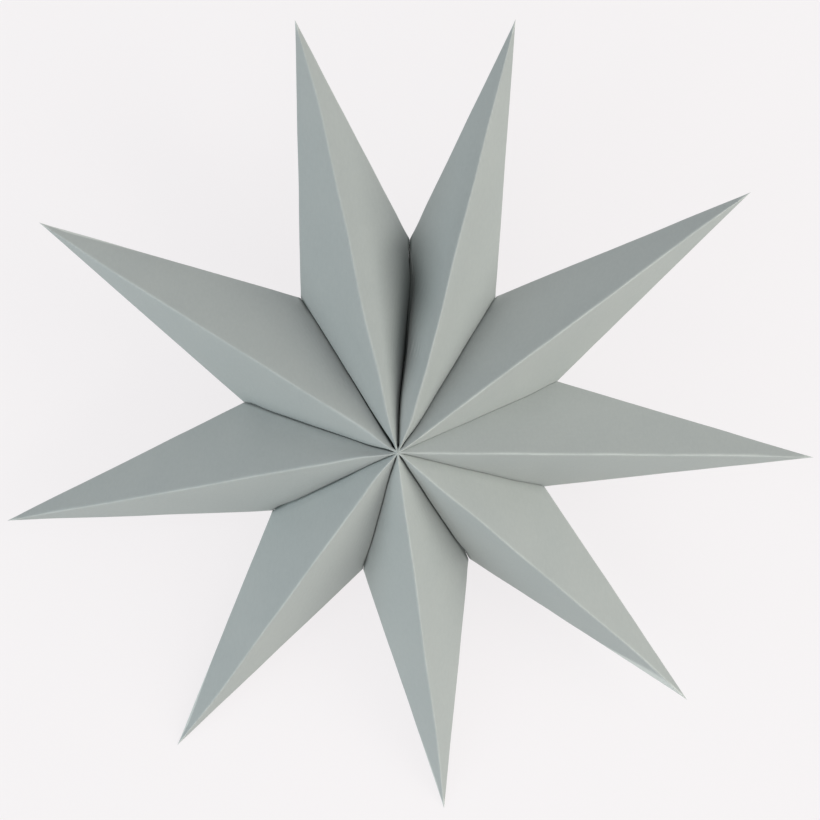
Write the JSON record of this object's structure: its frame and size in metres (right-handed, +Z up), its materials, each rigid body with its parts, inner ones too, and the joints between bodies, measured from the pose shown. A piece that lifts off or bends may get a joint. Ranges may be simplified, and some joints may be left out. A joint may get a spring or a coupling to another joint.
{
  "type": "folded card star ornament",
  "caption": "Hollow star ornament of folded card: pointed folded sheets glued wall to wall round one axis and closed at a seam, lying on its back ridges.",
  "frame": {"origin": "on the table that the star lies on, under the middle of the star's bounding box", "axes": "+Z up from the table, towards the front of the star, whose own axis leans 16.6 degrees; +Y towards the closing seam between the first and the last point; +X to the right, seen from the front"},
  "size_m": [0.2936, 0.2836, 0.0832],
  "materials": {
    "card": "matte",
    "adhesive_pad": "matte"
  },
  "bodies": {
    "root": {"point_1": "card", "point_2": "card", "point_3": "card", "point_4": "card", "point_5": "card", "point_6": "card", "point_7": "card", "point_8": "card", "point_9": "card", "inner_closing_pad": "adhesive_pad", "outer_closing_pad": "adhesive_pad"}
  },
  "joints": []
}
